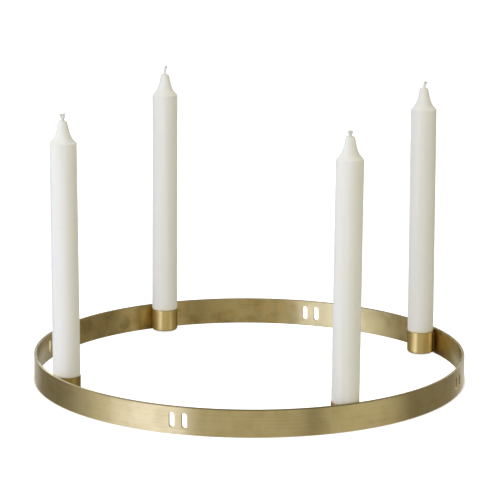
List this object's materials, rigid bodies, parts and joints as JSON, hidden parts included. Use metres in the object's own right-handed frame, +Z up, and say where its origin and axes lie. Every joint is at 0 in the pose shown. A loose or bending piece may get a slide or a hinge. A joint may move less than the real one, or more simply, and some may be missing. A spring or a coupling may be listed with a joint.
{
  "type": "advent candle holder",
  "caption": "Hoop of brushed brass band standing on edge, with small candle cups soldered inside it that hold tall white candles; used as a table advent wreath or hung by ribbons.",
  "frame": {"origin": "centre of the hoop on the plane of the table it stands on", "axes": "+Z up along the hoop's axis and the candles; X and Y through the pairs of ribbon slots, the cups at 45 degrees between them"},
  "size_m": [0.38, 0.38, 0.2521],
  "materials": {
    "brass_band": "brushed along the strip",
    "brass_cup": "satin",
    "solder": "as flowed, slightly dull",
    "wax": "smooth soft wax",
    "wick": "braided cotton"
  },
  "bodies": {
    "holder": {"ring_band": "brass_band", "candle_cup_1": "brass_cup", "solder_seam_1": "solder", "candle_cup_2": "brass_cup", "solder_seam_2": "solder", "candle_cup_3": "brass_cup", "solder_seam_3": "solder", "candle_cup_4": "brass_cup", "solder_seam_4": "solder"},
    "advent_candle_1": {"candle_1": "wax", "wick_1": "wick"},
    "advent_candle_2": {"candle_2": "wax", "wick_2": "wick"},
    "advent_candle_3": {"candle_3": "wax", "wick_3": "wick"},
    "advent_candle_4": {"candle_4": "wax", "wick_4": "wick"}
  },
  "joints": [
    {"name": "candle_lift_1", "type": "slide", "parent": "holder", "child": "advent_candle_1", "axis": [0, 0, 1], "range_m": [0, 0.03]},
    {"name": "candle_lift_2", "type": "slide", "parent": "holder", "child": "advent_candle_2", "axis": [0, 0, 1], "range_m": [0, 0.03]},
    {"name": "candle_lift_3", "type": "slide", "parent": "holder", "child": "advent_candle_3", "axis": [0, 0, 1], "range_m": [0, 0.03]},
    {"name": "candle_lift_4", "type": "slide", "parent": "holder", "child": "advent_candle_4", "axis": [0, 0, 1], "range_m": [0, 0.03]}
  ]
}
